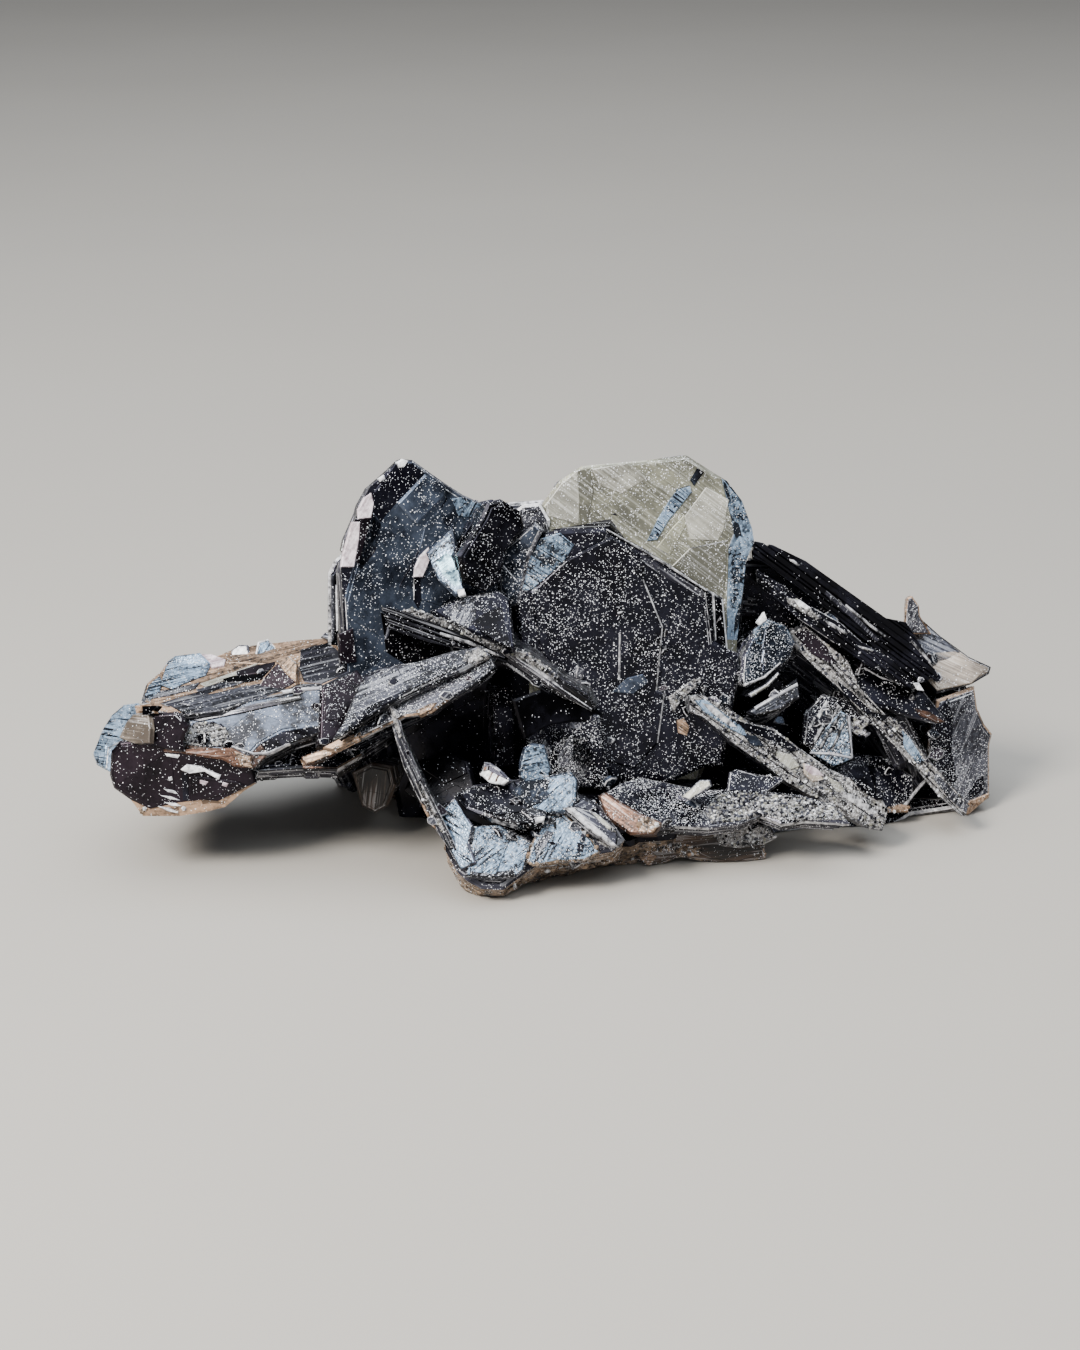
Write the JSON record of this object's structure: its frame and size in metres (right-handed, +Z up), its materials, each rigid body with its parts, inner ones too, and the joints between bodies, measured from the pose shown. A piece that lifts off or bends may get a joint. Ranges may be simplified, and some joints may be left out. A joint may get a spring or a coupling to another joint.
{
  "type": "hematite specimen",
  "caption": "Cluster of dark metallic tabular crystals grown through one another, with a broken flat base to stand on.",
  "frame": {"origin": "on the rest plane under the middle of the bounding box", "axes": "+X to the viewer's right along the cluster, +Y away from the viewer, +Z up"},
  "size_m": [0.1408, 0.0674, 0.0599],
  "materials": {
    "hematite": "gloss"
  },
  "bodies": {
    "root": {"hematite_cluster": "hematite"}
  },
  "joints": []
}
